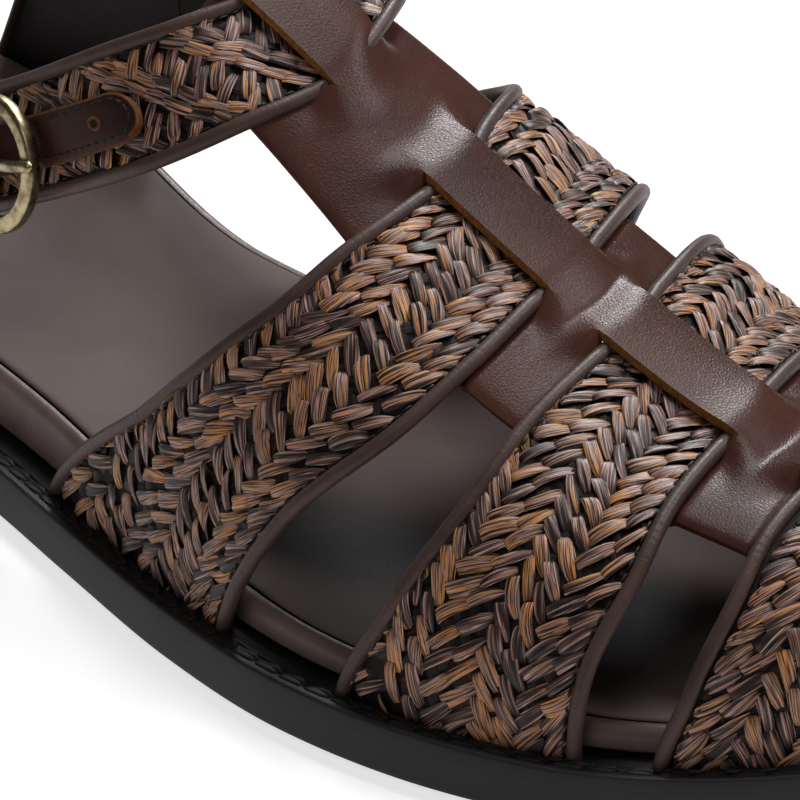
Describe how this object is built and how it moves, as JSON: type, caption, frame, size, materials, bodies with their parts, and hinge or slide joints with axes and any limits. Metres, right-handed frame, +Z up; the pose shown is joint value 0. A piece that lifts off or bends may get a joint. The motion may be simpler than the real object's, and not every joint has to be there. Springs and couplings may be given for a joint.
{
  "type": "fisherman sandal",
  "caption": "Fisherman sandal for the right foot: plaited straps with piped edges threaded through a slit leather T-bar, on a footbed, stitched welt and flat rubber sole with a low heel.",
  "frame": {"origin": "on the floor under the middle of the shoe's box", "axes": "+X towards the toe, +Y towards the inner (medial) side of the foot, +Z up"},
  "size_m": [0.29, 0.1046, 0.0847],
  "materials": {
    "sole_rubber": "matte moulded",
    "welt_leather": "waxed, stitched",
    "footbed_leather": "smooth, satin",
    "plaited_raffia": "plaited raffia with leather piping",
    "strap_leather": "smooth calf, semi-gloss",
    "antique_brass": "antiqued, brushed"
  },
  "bodies": {
    "root": {"outsole": "sole_rubber", "heel_block": "sole_rubber", "welt": "welt_leather", "footbed": "footbed_leather", "upper": "plaited_raffia", "buckle_billet": "strap_leather", "buckle_tab": "strap_leather", "buckle_ring": "antique_brass", "buckle_prong": "antique_brass"}
  },
  "joints": []
}
